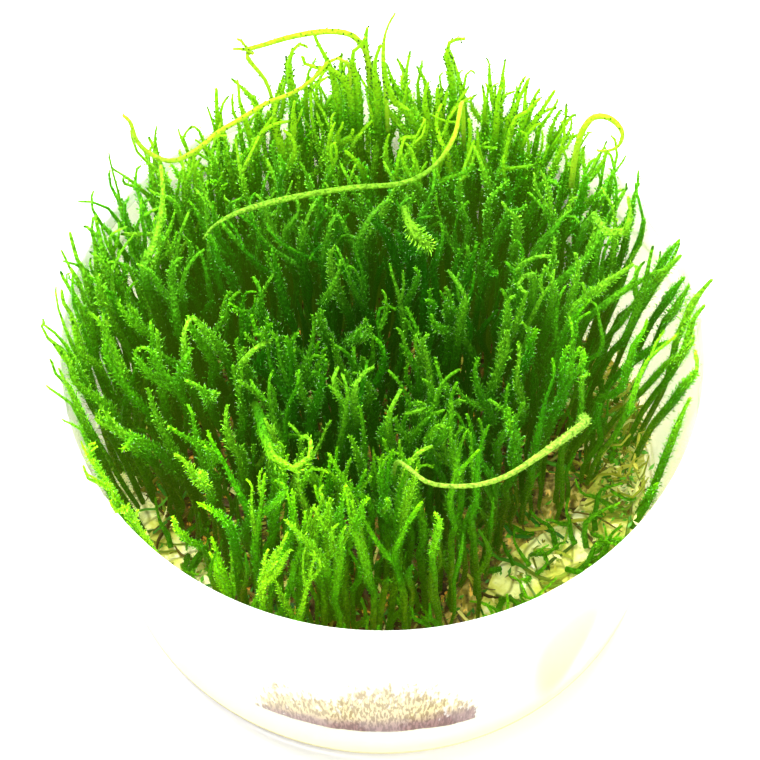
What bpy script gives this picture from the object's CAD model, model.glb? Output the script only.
import math

import bmesh
import bpy
import numpy as np
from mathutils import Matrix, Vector, noise


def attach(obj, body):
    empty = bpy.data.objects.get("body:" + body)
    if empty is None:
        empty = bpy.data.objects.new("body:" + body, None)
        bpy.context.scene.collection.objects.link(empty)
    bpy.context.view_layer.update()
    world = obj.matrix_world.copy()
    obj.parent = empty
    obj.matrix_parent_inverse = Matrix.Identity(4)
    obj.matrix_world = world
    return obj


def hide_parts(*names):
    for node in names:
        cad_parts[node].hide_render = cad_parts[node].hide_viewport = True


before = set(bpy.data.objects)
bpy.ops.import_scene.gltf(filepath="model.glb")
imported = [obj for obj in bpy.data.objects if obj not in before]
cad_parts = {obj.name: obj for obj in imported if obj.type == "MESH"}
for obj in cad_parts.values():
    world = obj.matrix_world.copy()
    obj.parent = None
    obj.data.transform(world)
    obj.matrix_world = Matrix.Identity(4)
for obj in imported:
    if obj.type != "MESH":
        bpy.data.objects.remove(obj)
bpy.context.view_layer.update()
bpy.ops.object.select_all(action="DESELECT")

mm = 0.001
goldenAngle = math.pi * (3 - math.sqrt(5))
oldAge = 40  # mm from the tip at which a shoot's age is one
print("frame loaded:", len(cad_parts), "nodes")


# small tools for meshes
def onlySelect(piece):
    bpy.ops.object.select_all(action="DESELECT")
    piece.select_set(True)
    bpy.context.view_layer.objects.active = piece


def turnedPiece(name, rings, sides, closedTop=True, closedEnd=True):
    # a ring of edges is drawn out from one (radius, height) in mm to the next
    radius, height = rings[0]
    bpy.ops.mesh.primitive_circle_add(
        vertices=sides,
        radius=radius * mm,
        fill_type="NGON" if closedTop else "NOTHING",
        location=(0, 0, height * mm),
    )
    piece = bpy.context.object
    piece.name = name
    bpy.ops.object.transform_apply(location=True)
    bpy.ops.object.mode_set(mode="EDIT")
    bpy.ops.mesh.select_mode(type="EDGE")
    bpy.ops.mesh.select_all(action="SELECT")
    for nextRadius, nextHeight in rings[1:]:
        rise = (nextHeight - height) * mm
        bpy.ops.mesh.extrude_edges_move(TRANSFORM_OT_translate={"value": (0, 0, rise)})
        grow = nextRadius / radius
        bpy.ops.transform.resize(value=(grow, grow, 1), center_override=(0, 0, nextHeight * mm))
        radius, height = nextRadius, nextHeight
    if closedEnd:
        bpy.ops.mesh.edge_face_add()
    bpy.ops.mesh.select_all(action="SELECT")
    if closedEnd:
        bpy.ops.mesh.normals_make_consistent(inside=False)
    bpy.ops.object.mode_set(mode="OBJECT")
    return piece


def smooth(piece, angle=40):
    onlySelect(piece)
    bpy.ops.object.shade_smooth_by_angle(angle=math.radians(angle))


def applyModifiers(piece):
    onlySelect(piece)
    for modifier in list(piece.modifiers):
        bpy.ops.object.modifier_apply(modifier=modifier.name)


def pick(piece, parts, chosen):
    # in edit mode, selects those of its verts, edges or faces that are chosen
    bpy.ops.mesh.select_all(action="DESELECT")
    shape = bmesh.from_edit_mesh(piece.data)
    for part in getattr(shape, parts):
        part.select_set(chosen(part))
    bmesh.update_edit_mesh(piece.data)


def finishPiece(piece, material, slot, *nodes):
    piece.data.materials.clear()
    piece.data.materials.append(material)
    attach(piece, "root")
    if nodes:
        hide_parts(*nodes)


# shader maths: a socket that can be added, multiplied and so on
class Value:
    def __init__(self, finish, socket):
        self.finish, self.socket = finish, socket

    def __add__(self, other):
        return self.finish.maths("ADD", self, other)

    def __sub__(self, other):
        return self.finish.maths("SUBTRACT", self, other)

    def __rsub__(self, other):
        return self.finish.maths("SUBTRACT", other, self)

    def __mul__(self, other):
        return self.finish.maths("MULTIPLY", self, other)

    def __truediv__(self, other):
        return self.finish.maths("DIVIDE", self, other)

    def __pow__(self, other):
        return self.finish.maths("POWER", self, other)

    __radd__ = __add__
    __rmul__ = __mul__


class Finish:
    # one material; plain values go straight to the shader's own sockets
    def __init__(self, name, **plain):
        self.material = bpy.data.materials.new(name)
        self.material.use_nodes = True
        self.tree = self.material.node_tree
        self.shader = self.tree.nodes["Principled BSDF"]
        self.material.cycles.emission_sampling = "NONE"  # the faint emission lights nothing else
        for socket, value in plain.items():
            self.feed(self.shader.inputs[socket.replace("_", " ")], value)

    def feed(self, socket, value):
        if isinstance(value, Value):
            self.tree.links.new(value.socket, socket)
        elif isinstance(value, tuple) and len(value) == 3 and socket.type == "RGBA":
            socket.default_value = (*value, 1)
        else:
            socket.default_value = value

    def node(self, kind, inputs=None, output=0, **settings):
        made = self.tree.nodes.new("ShaderNode" + kind)
        for name, value in settings.items():
            setattr(made, name, value)
        for name, value in (inputs or {}).items():
            self.feed(made.inputs[name], value)
        return Value(self, made.outputs[output])

    def maths(self, operation, *values):
        return self.node("Math", dict(enumerate(values)), operation=operation)

    def ramp(self, value, stops):
        made = self.node("ValToRGB", {"Fac": value})
        elements = made.socket.node.color_ramp.elements
        while len(elements) < len(stops):
            elements.new(0.5)
        for element, (place, tone) in zip(elements, stops):
            element.position = place
            element.color = (*tone, 1) if isinstance(tone, tuple) else (tone, tone, tone, 1)
        return made

    def band(self, value, start, end):
        # rises from 0 to 1 between start and end
        ends = {"Value": value, "From Min": start, "From Max": end}
        return self.node("MapRange", ends, interpolation_type="SMOOTHSTEP")

    def between(self, value, low, high, soft):
        return self.band(value, low, low + soft) * (1.0 - self.band(value, high, high + soft))

    def mix(self, share, first, second, blend="MIX"):
        colours = {0: share, 6: first, 7: second}  # the sockets that a Mix node of colours uses
        return self.node("Mix", colours, 2, data_type="RGBA", blend_type=blend)

    def objectPlace(self):
        return self.node("TexCoord", output="Object")

    def millimetres(self):
        parts = self.node("SeparateXYZ", {"Vector": self.objectPlace()}).socket.node.outputs
        return [Value(self, part) * (1 / mm) for part in parts]

    def growth(self):
        # the four values that every moss mesh carries: age, fresh, tip and chance
        read = self.node("Attribute", attribute_type="GEOMETRY", attribute_name="growth").socket.node
        parts = self.node("SeparateColor", {"Color": Value(self, read.outputs["Color"])}).socket.node.outputs
        return [Value(self, part) for part in (*parts, read.outputs["Alpha"])]

    def squeezed(self, place, share):
        # drawn out upwards: the height counts only by a share
        return self.node("Mapping", {"Vector": place, "Scale": (1.0, 1.0, share)})

    def noise(self, place, scale, detail=3.0, roughness=0.5, output=0):
        inputs = {"Vector": place, "Scale": scale, "Detail": detail, "Roughness": roughness}
        return self.node("TexNoise", inputs, output)

    def bump(self, height, strength, distance):
        inputs = {"Height": height, "Strength": strength, "Distance": distance}
        self.feed(self.shader.inputs["Normal"], self.node("Bump", inputs))

    def paintWith(self, colour, shine=0.0):
        # shine is the faint light of its own colour that comes through it
        self.feed(self.shader.inputs["Base Color"], colour)
        if shine:
            self.shineWith(colour, shine)

    def shineWith(self, colour, strength):
        self.feed(self.shader.inputs["Emission Color"], colour)
        self.feed(self.shader.inputs["Emission Strength"], strength)

    def glow(self, colour, share):
        # light that comes through a thin sheet
        through = self.node("BsdfTranslucent", {"Color": colour})
        both = self.node("MixShader", {0: share, 1: Value(self, self.shader.outputs[0]), 2: through})
        self.feed(self.tree.nodes["Material Output"].inputs["Surface"], both)


# camera: fitted to the photographed rim and foot
cameraSet = {
    "target": (-0.4, 23.3, 5.0),  # mm
    "distance": 400,  # mm
    "elevation": 58.6,
    "lens": 111.9,
}


def makeCamera(settings):
    rise = math.radians(settings["elevation"])
    back = Vector((0, -math.cos(rise), math.sin(rise)))
    data = bpy.data.cameras.new("camera")
    data.lens = settings["lens"]
    data.clip_start = 0.01
    camera = bpy.data.objects.new("camera", data)
    bpy.context.scene.collection.objects.link(camera)
    camera.location = (Vector(settings["target"]) + back * settings["distance"]) * mm
    camera.rotation_mode = "QUATERNION"
    camera.rotation_quaternion = (-back).to_track_quat("-Z", "Y")
    bpy.context.scene.camera = camera


makeCamera(cameraSet)
print("camera placed")


# light and floor
lightSet = {
    "worldStrength": 0.7,
    "areas": {
        # place in mm, size in mm, power in watts
        "topLight": ((-110, 60, 520), 220, 6.5),
        "backLight": ((140, 420, 330), 380, 5.0),
        "frontLight": ((-60, -420, 320), 420, 1.6),
        "rightLight": ((430, -140, 200), 300, 0.8),
    },
    "floorColour": (0.93, 0.93, 0.93),
}


def makeLights(settings):
    world = bpy.data.worlds.new("studio")
    world.use_nodes = True
    sky = world.node_tree.nodes["Background"]
    sky.inputs["Color"].default_value = (1, 1, 1, 1)
    sky.inputs["Strength"].default_value = settings["worldStrength"]
    bpy.context.scene.world = world
    for name, (place, size, power) in settings["areas"].items():
        data = bpy.data.lights.new(name, "AREA")
        data.shape = "DISK"
        data.size = size * mm
        data.energy = power
        lamp = bpy.data.objects.new(name, data)
        bpy.context.scene.collection.objects.link(lamp)
        lamp.location = Vector(place) * mm
        aim = Vector((0, 0, 45)) * mm - lamp.location
        lamp.rotation_mode = "QUATERNION"
        lamp.rotation_quaternion = aim.to_track_quat("-Z", "Y")


def makeFloor(settings):
    bpy.ops.mesh.primitive_plane_add(size=6)
    floor = bpy.context.object
    floor.name = "studio_floor"
    paint = Finish("floorPaint", Base_Color=settings["floorColour"], Roughness=0.9)
    floor.data.materials.append(paint.material)


makeLights(lightSet)
makeFloor(lightSet)
bpy.context.scene.view_settings.view_transform = "Standard"
bpy.context.scene.view_settings.look = "None"
print("lights and floor placed")


# cup
cup = {
    "height": 55.0,
    "wall": 1.0,
    "rimInner": 47.0,
    "footOuter": 42.5,
    "floorTop": 2.0,
    "lipReach": 1.6,
    "lipDrop": 2.4,
    "footRing": 38.0,
    "footRecess": 0.8,
    "sides": 160,
    "plastic": (0.97, 0.98, 0.97),
    "wetPlastic": (0.92, 0.96, 0.36),
    "faceAlpha": 0.10,
    "edgeAlpha": 0.55,
    "rimAlpha": 0.45,  # the rolled rim is milky
    "ringAlpha": 0.97,
    "ringLeft": (0.17, 0.11, 0.05),
    "ringRight": (0.46, 0.40, 0.16),
}
wallSlope = (cup["rimInner"] + cup["wall"] - cup["footOuter"]) / cup["height"]


def outerWall(height):
    return cup["footOuter"] + wallSlope * height


def innerWall(height):
    return outerWall(height) - cup["wall"]


def clearPlastic(settings):
    paint = Finish("clearPlastic", Roughness=0.06, IOR=1.49)
    edge = paint.node("LayerWeight", {"Blend": 0.35}, "Facing")
    x, y, height = paint.millimetres()
    # the inside of the wall is wet and straw-coloured up to the moss's top
    foot, radius = settings["footOuter"], paint.maths("SQRT", x * x + y * y)
    wet = 1.0 - paint.band(radius - height * wallSlope, foot - 0.7, foot - 0.5)
    wet = wet * (1.0 - paint.band(height, 44.0, 50.0))
    colour = paint.mix(wet, settings["plastic"], settings["wetPlastic"])
    # the gel's edge shows as a straw ring at the foot, browner on the left
    low = 1.0 - paint.band(height, 1.9, 2.5)
    ring = paint.mix(paint.band(x, -22.0, 12.0), settings["ringLeft"], settings["ringRight"])
    paint.paintWith(paint.mix(low, colour, ring))
    alpha = settings["faceAlpha"] + (settings["edgeAlpha"] - settings["faceAlpha"]) * edge ** 3
    for least in (paint.band(height, 51.0, 51.8) * settings["rimAlpha"], low * settings["ringAlpha"]):
        alpha = paint.maths("MAXIMUM", alpha, least)
    paint.feed(paint.shader.inputs["Alpha"], alpha)
    return paint.material


def makeCup(settings):
    top, floor = settings["height"], settings["floorTop"]
    lip, under = outerWall(top) + settings["lipReach"], top - settings["lipDrop"]
    rings = [
        (innerWall(floor) - 2.0, floor),
        (innerWall(floor) - 0.7, floor + 0.25),
        (innerWall(floor + 1.6), floor + 1.6),
        (innerWall(top * 0.5), top * 0.5),
        (innerWall(top - 1.0), top - 1.0),
        (innerWall(top - 0.2), top - 0.2),
        (innerWall(top) + 0.15, top),
        (lip - 0.5, top),
        (lip - 0.15, top - 0.15),
        (lip, top - 0.5),
        (lip, under + 0.15),
        (lip - 0.2, under),
        (outerWall(under) + 0.25, under),
        (outerWall(under - 0.3), under - 0.3),
        (outerWall(top * 0.5), top * 0.5),
        (outerWall(1.5), 1.5),
        (outerWall(0.7) - 0.25, 0.55),
        (outerWall(0) - 0.75, 0.12),
        (outerWall(0) - 1.4, 0),
        (settings["footRing"], 0),
        (settings["footRing"] - 0.5, 0.3),
        (settings["footRing"] - 0.9, settings["footRecess"]),
    ]
    piece = turnedPiece("clear_cup", rings, settings["sides"])
    smooth(piece, 50)
    finishPiece(piece, clearPlastic(settings), "clear_plastic", "culture_cup")


makeCup(cup)
print("cup made")


# printed paper sleeve
sleeve = {
    "bottom": 2.9,
    "top": 51.5,
    "thickness": 0.35,
    "standOff": 0.35,
    "sides": 180,
    "rows": 8,
    "seamAt": 90,  # degrees round from +X: the back
    "paper": ((0.90, 0.90, 0.875), (0.94, 0.94, 0.92)),
    "film": (0.93, 0.96, 0.42),  # straw, where the wet wall stands before it
    "stain": ((0.16, 0.17, 0.02), (0.72, 0.76, 0.30)),
    # the picture, in mm up and in degrees round from the front, to the right
    "hills": ((-14.0, 11.0, 31.0), (1.5, 12.5, 37.0), (11.0, 8.0, 29.0)),  # middle, half width, crest
    "hillFoot": 14.0,
    "straw": ((0.24, 0.16, 0.04), (0.60, 0.50, 0.24)),
    "dusk": ((0.09, 0.020, 0.022), (0.24, 0.12, 0.11)),
    "dropPlace": (36.0, 27.0),
    "dropSize": (10.0, 22.0),
    "drop": ((0.80, 0.60, 0.30), (0.80, 0.76, 0.28)),
    "stripesAt": (62.0, 150.0),
    "stripes": (
        (9.0, 10.4, (0.16, 0.08, 0.04)),
        (12.2, 13.0, (0.14, 0.26, 0.04)),
        (43.5, 44.3, (0.14, 0.26, 0.04)),
    ),
    "edgeLine": ((0.22, 0.14, 0.06), (0.62, 0.56, 0.26), (0.72, 0.66, 0.32)),  # lower, upper, on the right
    "glow": ((1.0, 1.0, 0.93), 0.6),  # the light that comes through the paper: its colour and share
}


def paperPrint(settings):
    paint = Finish("printedPaper", Roughness=0.42, Specular_IOR_Level=0.4)
    place = paint.objectPlace()
    x, y, z = paint.millimetres()
    around = paint.maths("ARCTAN2", x, 0 - y) * (180 / math.pi)  # 0 at the front, 90 on the right
    blur = paint.noise(place, 140, 5, 0.6) - 0.5
    upright = paint.squeezed(place, 0.22)
    blades = paint.noise(upright, 1500, 2) - 0.5
    hairs = paint.band(paint.noise(paint.squeezed(place, 0.12), 3000, 2), 0.44, 0.56)
    colour = paint.mix(paint.noise(place, 900, 4), *settings["paper"])

    # seen from inside, the back of the sleeve is tinted straw by the wet wall before it
    radius = paint.maths("SQRT", x * x + y * y)
    innerSide = 1.0 - paint.band(radius - z * wallSlope, cup["footOuter"] + 0.45, cup["footOuter"] + 0.6)
    filmTop = z + blur * 14.0
    wet = innerSide * (1.0 - paint.band(filmTop, 48.0, 56.0))
    colour = paint.mix(wet, colour, settings["film"])
    stained = innerSide * (1.0 - paint.band(filmTop, 40.0, 50.0)) * paint.band(y, 26.0, 36.0)
    speckled = paint.band(paint.noise(upright, 700, 3), 0.4, 0.6)
    colour = paint.mix(stained, colour, paint.mix(speckled, *settings["stain"]))

    # low hills: each is a mound that fades upwards into straw-coloured speckle
    printed, foot = 0.0, settings["hillFoot"]
    lift = paint.band(z + blur * 10.0 - around * 0.12, foot + 2.0, foot + 9.0)
    earth = paint.mix(lift, paint.mix(hairs, *settings["dusk"]), paint.mix(hairs, *settings["straw"]))
    above = paint.band(z + blur * 3.0, foot, foot + 0.7)
    for middle, halfWidth, crest in settings["hills"]:
        across = paint.maths("ABSOLUTE", (around - middle) / halfWidth)
        hill = crest - (crest - foot - 2.5) * across ** 4 + blur * 12.0
        inside = paint.band(hill - z + blades * 34.0, 1.0, 7.0) * above * paint.band(hill + 3.0 - z, 0.0, 2.0)
        colour = paint.mix(inside * 0.92, colour, earth)
        printed = paint.maths("MAXIMUM", printed, inside)

    # a pale drop on the right, and stripes on the sides
    (dropAround, dropUp), (wide, tall) = settings["dropPlace"], settings["dropSize"]
    dropX, dropZ = (around - dropAround) / wide, (z - dropUp) / tall
    drop = 1.0 - dropX * dropX * (1.4 - dropZ) - dropZ * dropZ
    tint = paint.mix(paint.band(z, 12.0, 40.0), *settings["drop"])
    colour = paint.mix(paint.band(drop, 0.0, 0.7) * 0.9, colour, tint)
    side = paint.between(paint.maths("ABSOLUTE", around), *settings["stripesAt"], 1.0) * (1.0 - innerSide)
    for low, high, ink in settings["stripes"]:
        stripe = side * paint.between(z, low, high, 0.15)
        colour = paint.mix(stripe * 0.9, colour, ink)
        printed = paint.maths("MAXIMUM", printed, stripe)

    # the gel behind shines through along the lower edge
    lowEdge = 1.0 - paint.band(z, 3.5, 4.0)
    lower, upper, onRight = settings["edgeLine"]
    line = paint.mix(paint.band(x, -22.0, 18.0), paint.mix(paint.band(z, 3.1, 3.3), lower, upper), onRight)
    paint.paintWith(paint.mix(lowEdge * 0.9, colour, line))
    paint.bump(paint.noise(place, 420, 3), 0.12, 0.0004)
    glowColour, share = settings["glow"]
    paint.glow(glowColour, share - (printed + lowEdge) * 0.5 - stained * 0.3 - wet * 0.15)
    return paint.material


def makeSleeve(settings):
    low, high = settings["bottom"], settings["top"]
    face = settings["standOff"] + settings["thickness"]
    heights = np.linspace(high, low, settings["rows"] + 1)
    rings = [(outerWall(h) + face, h) for h in heights]
    piece = turnedPiece("printed_sleeve", rings, settings["sides"], closedTop=False, closedEnd=False)
    onlySelect(piece)
    bpy.ops.object.mode_set(mode="EDIT")
    bpy.ops.mesh.select_mode(type="FACE")
    bpy.ops.mesh.select_all(action="SELECT")
    bpy.ops.mesh.normals_make_consistent(inside=False)
    seam, column = math.radians(settings["seamAt"]), 2 * math.pi / settings["sides"]

    def atSeam(face):
        middle = face.calc_center_median()
        return -0.01 < (math.atan2(middle.y, middle.x) - seam) / column < 0.99

    pick(piece, "faces", atSeam)  # one column of faces is taken out for the seam
    bpy.ops.mesh.delete(type="FACE")
    bpy.ops.object.mode_set(mode="OBJECT")
    thicken = piece.modifiers.new("thickness", "SOLIDIFY")
    thicken.thickness = settings["thickness"] * mm
    thicken.offset = -1
    applyModifiers(piece)
    smooth(piece, 50)
    finishPiece(piece, paperPrint(settings), "white_paper", "paper_sleeve")


makeSleeve(sleeve)
print("sleeve made")


# moss: one leaf and one stem are modelled, then set along every shoot's route
moss = {
    "seed": 7,
    "rootHeight": 15.0,
    "crown": 58.0,  # height of the tips in the middle
    "slope": 0.10,  # the crown rises towards the back
    "relief": 3.2,
    "spacing": {-45: 3.5, -20: 3.4, 10: 3.0, 30: 2.6, 45: 2.5},  # by place from front to back
    "rootReach": 41.6,
    "darts": 9000,
    "lowerDarts": 4200,
    # by distance from the tip; the density is in leaves to a mm
    "leafDensity": {0: 4.0, 5: 5.0, 8: 13.0, 16: 16.5, 24: 12.0, 34: 7.0, 60: 5.0},
    "leafLength": {0: 0.50, 5: 0.66, 8: 0.76, 12: 0.82, 25: 0.82, 45: 0.72},
    "leafWidth": {0: 0.6, 5: 0.6, 9: 0.40},  # for its length
    "backLeafWidth": {0: 1.5, 9: 1.4, 24: 1.0},
    "leafSpread": {0: 24.0, 1: 46.0, 5: 46.0, 8: 38.0, 12: 33.0, 20: 36.0, 40: 44.0},  # degrees from the stem
    "stemRadius": {0: 0.20, 0.6: 0.29, 5: 0.34, 8: 0.50, 12: 0.63, 18: 0.70, 28: 0.64, 60: 0.50},
    "hiddenShare": {9: 1.0, 16: 0.5, 24: 0.16},  # of the leaves, by depth under the crown inside the clump
    "shedding": 0.2,  # share of leaves that stand out more
    "drifts": ((11, 4.4), (4.5, 2.4)),  # of groups and of tufts: how wide they are and how far they lean
    "hooked": {"front": 0.07, "rear": 0.17},  # share of shoots with a hooked tip
    "lowShare": 0.13,  # of the shoots, some millimetres under the crown
    "tallShare": 0.05,
    "sideShoots": {"front": (0.15, 0.40, 0.32, 0.13), "rear": (0.42, 0.36, 0.17, 0.05)},  # none, 1, 2 or 3
    "sprigs": 110,
    "lowerTops": {"front": (20, 32), "middle": (26, 46), "rear": (36, 50)},
    # along the wall: degrees from, to and apart, then the lowest and the highest tip
    "wallShoots": ((150, 222, 3.1, 53, 60), (30, 62, 8.0, 48, 58)),
    "backShoots": (28, 165, 0.95, 36, 58),
}

# how far the tips lean outwards by angle: mm, then the middle and the half width in degrees
leans = ((9.5, 15, 60), (4.0, 180, 60), (1.5, 90, 50), (-14.0, -90, 62))

# the outline draws back at the right front and a little at the left front
bays = {
    "right": {"angle": -38, "halfWidth": 58, "depth": 18.5},
    "left": {"angle": -152, "halfWidth": 36, "depth": 10.0},
    "front": {"angle": -88, "halfWidth": 35, "depth": 7.0},
    "rightThin": {"angle": 24, "halfWidth": 40, "depth": 7.0},
}


def leafShape():
    # a keeled leaf one unit long: heel at the origin, two shoulders, one apex
    bpy.ops.object.select_all(action="DESELECT")
    bpy.ops.mesh.primitive_cone_add(vertices=3, radius1=0.25, depth=1, location=(0, 0, 0.5))
    leaf = bpy.context.object
    bpy.ops.object.transform_apply(location=True)
    moves = (
        (lambda c: c.z > 0.5, (0, 0.05, 0)),
        (lambda c: c.z < 0.2 and c.y > 0.1, (0, -0.25, 0)),
        (lambda c: c.z < 0.2 and abs(c.x) > 0.1, (0, 0.045, 0.46)),
    )
    bpy.ops.object.mode_set(mode="EDIT")
    bpy.ops.mesh.select_mode(type="VERT")
    for chosen, move in moves:
        pick(leaf, "verts", lambda corner: chosen(corner.co))
        bpy.ops.transform.translate(value=move)
    bpy.ops.mesh.select_all(action="SELECT")
    bpy.ops.mesh.normals_make_consistent(inside=False)
    bpy.ops.mesh.quads_convert_to_tris()
    bpy.ops.object.mode_set(mode="OBJECT")
    return takeShape(leaf)


def stemShape(sides, rows):
    # a straight stem of radius one and length one, from root to tip
    bpy.ops.object.select_all(action="DESELECT")
    bpy.ops.mesh.primitive_cylinder_add(vertices=sides, radius=1, depth=1, location=(0, 0, 0.5))
    stem = bpy.context.object
    bpy.ops.object.transform_apply(location=True)
    bpy.ops.object.mode_set(mode="EDIT")
    bpy.ops.mesh.select_mode(type="EDGE")
    pick(stem, "edges", lambda edge: abs(edge.verts[0].co.z - edge.verts[1].co.z) > 0.5)
    bpy.ops.mesh.subdivide(number_cuts=rows - 1)
    bpy.ops.mesh.select_all(action="SELECT")
    bpy.ops.mesh.quads_convert_to_tris()
    bpy.ops.object.mode_set(mode="OBJECT")
    return takeShape(stem)


def takeShape(piece):
    mesh = piece.data
    places = np.empty(len(mesh.vertices) * 3)
    mesh.vertices.foreach_get("co", places)
    corners = np.empty(len(mesh.polygons) * 3, dtype=np.int64)
    mesh.polygons.foreach_get("vertices", corners)
    bpy.data.objects.remove(piece)
    bpy.data.meshes.remove(mesh)
    return places.reshape(-1, 3), corners.reshape(-1, 3)


leafPoints, leafFaces = leafShape()
mainStem, sideStem, twigStem, longStem = stemShape(6, 14), stemShape(5, 9), stemShape(4, 8), stemShape(7, 44)


def bump(angle, middle, halfWidth):
    # one at the middle, zero from half a width away
    away = abs((angle - middle + 180) % 360 - 180) / halfWidth
    return 0.5 + 0.5 * math.cos(math.pi * away) if away < 1 else 0.0


def drawBack(x, y):
    angle = math.degrees(math.atan2(y, x))
    return sum(bay["depth"] * bump(angle, bay["angle"], bay["halfWidth"]) for bay in bays.values())


def by(table, value):
    return np.interp(value, list(table.keys()), list(table.values()))


def at(along, even, run):
    # the points of a run at these distances along it
    return np.stack([np.interp(along, even, run[:, i]) for i in range(3)], axis=1)


def smoothRoute(points, step=0.5):
    # an even, smooth run of points through the given ones
    p = np.array(points, dtype=float)
    p = np.vstack([2 * p[0] - p[1], p, 2 * p[-1] - p[-2]])
    t = np.linspace(0, 1, 10, endpoint=False)[:, None]
    runs = []
    for a, b, c, d in zip(p[:-3], p[1:-2], p[2:-1], p[3:]):
        curved, cubed = 2 * a - 5 * b + 4 * c - d, 3 * b - a - 3 * c + d
        runs.append(0.5 * (2 * b + (c - a) * t + curved * t**2 + cubed * t**3))
    run = np.vstack([*runs, p[-2:-1]])
    along = np.concatenate([[0], np.cumsum(np.linalg.norm(np.diff(run, axis=0), axis=1))])
    even = np.linspace(0, along[-1], max(int(along[-1] / step), 4) + 1)
    return at(even, along, run), even


def keepInCup(run, margin=1.25, overRim=49.0):
    # below the rim a route stays inside the wall, above it it may lean out little by little
    wall = innerWall(np.minimum(run[:, 2], cup["height"])) - margin
    above = np.clip((run[:, 2] - cup["height"]) / 7, 0, 1)
    radius = np.maximum(np.hypot(run[:, 0], run[:, 1]), 1e-6)
    run[:, :2] *= np.minimum((wall + (overRim - wall) * above) / radius, 1.0)[:, None]
    return run


def framesAlong(run):
    # a direction and a side at every point, turned as little as possible
    ahead = np.gradient(run, axis=0)
    ahead /= np.linalg.norm(ahead, axis=1)[:, None]
    sides = np.empty_like(ahead)
    side = np.cross(ahead[0], (0.3, 0.9, 0.1))
    for i, direction in enumerate(ahead):
        side = side - direction * side.dot(direction)
        side /= math.sqrt(side.dot(side))
        sides[i] = side
    return ahead, sides


class Growth:
    # collects leaves and stems of one piece
    def __init__(self, name):
        self.name = name
        self.points, self.faces, self.colours = [], [], []
        self.count = 0

    def take(self, points, faces, colours):
        self.points.append(points)
        self.faces.append(faces + self.count)
        self.colours.append(colours)
        self.count += len(points)

    def make(self, material, slot, *nodes):
        points, faces = np.vstack(self.points) * mm, np.vstack(self.faces)
        mesh = bpy.data.meshes.new(self.name)
        mesh.vertices.add(len(points))
        mesh.vertices.foreach_set("co", points.ravel())
        mesh.loops.add(faces.size)
        mesh.loops.foreach_set("vertex_index", faces.ravel().astype(np.int32))
        mesh.polygons.add(len(faces))
        mesh.polygons.foreach_set("loop_start", np.arange(0, faces.size, 3, dtype=np.int32))
        mesh.update(calc_edges=True)
        growth = mesh.attributes.new("growth", "FLOAT_COLOR", "POINT")
        growth.data.foreach_set("color", np.vstack(self.colours).astype(np.float32).ravel())
        piece = bpy.data.objects.new(self.name, mesh)
        bpy.context.scene.collection.objects.link(piece)
        smooth(piece, 60)
        finishPiece(piece, material, slot, *nodes)
        print(self.name, "made:", len(faces), "triangles")


def addStem(growth, run, even, radii, shape, tint):
    # bends a straight stem along a route; tint gives (age, fresh, tip, chance) for a distance from the tip
    points, faces = shape
    place = (1 - (1 - points[:, 2]) ** 1.8) * even[-1]
    frames = framesAlong(run)
    where, direction, side = (at(place, even, column) for column in (run, *frames))
    fromTip = even[-1] - place
    radius = np.array([radii(s) for s in fromTip])[:, None]
    ring = (points[:, 0:1] * side + points[:, 1:2] * np.cross(direction, side)) * radius
    growth.take(where + ring, faces, np.array([tint(s) for s in fromTip]))
    return frames


def spun(beside, face, angle):
    # both directions, turned in their own plane
    cos, sin = np.cos(angle)[:, None], np.sin(angle)[:, None]
    return beside * cos + face * sin, face * cos - beside * sin


def setLeaves(growth, heels, beside, face, up, lengths, widths, tint):
    # one leaf at every heel; tint has four columns of values, for each leaf or for each corner
    local = leafPoints[None] * lengths[:, None, None]
    points = (
        heels[:, None]
        + beside[:, None] * local[:, :, 0:1] * widths[:, None, None]
        + face[:, None] * local[:, :, 1:2]
        + up[:, None] * local[:, :, 2:3]
    )
    faces = leafFaces[None] + np.arange(len(heels))[:, None, None] * len(leafPoints)
    colours = np.empty((len(heels), len(leafPoints), 4))
    for column, value in enumerate(tint):
        colours[:, :, column] = value
    growth.take(points.reshape(-1, 3), faces.reshape(-1, 3), colours.reshape(-1, 4))


def addLeaves(growth, run, even, frames, places, lengths, widths, spreads, radii, draw, fresh, shift):
    # places are distances from the tip
    count = len(places)
    where, direction, side = (at(even[-1] - places, even, column) for column in (run, *frames))
    turn = goldenAngle * np.arange(count) + draw.uniform(0, 6.28) + draw.normal(0, 0.35, count)
    out, _ = spun(side, np.cross(direction, side), turn)
    beside = np.cross(direction, out)
    up, face = spun(direction, out, np.radians(spreads))
    beside, face = spun(beside, face, draw.normal(0, 0.25, count))
    chance = draw.uniform(0, 1, count)[:, None]
    tint = (places[:, None] / oldAge + shift, fresh, leafPoints[None, :, 2], chance)
    setLeaves(growth, where + out * (radii * 0.92)[:, None], beside, face, up, lengths, widths, tint)


def leafStations(run, even, draw, neck, density, form):
    # distances from the tip at which leaves stand, fewer of them where the clump hides them
    along = np.arange(0.1, even[-1], 0.05)
    x, y, z = at(even[-1] - along, even, run).T
    inside = moss["rootReach"] - drawBack(x[-1], y[-1]) - math.hypot(x[-1], y[-1])
    depth = moss["crown"] + moss["slope"] * y - z
    # at the front and the right they are seen further down
    seen = min(max((-8 - y[-1]) / 12, (x[-1] - 16) / 12, 0), 1)
    shown = by(moss["hiddenShare"], depth - 24 * seen) if inside > 4 else 1.0
    count = np.cumsum(by(form["leafDensity"], along / neck) * density * shown * 0.05)
    total = max(int(count[-1]), 1)
    return np.interp(np.arange(total) + draw.uniform(0.1, 0.9, total), count, along)


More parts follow.
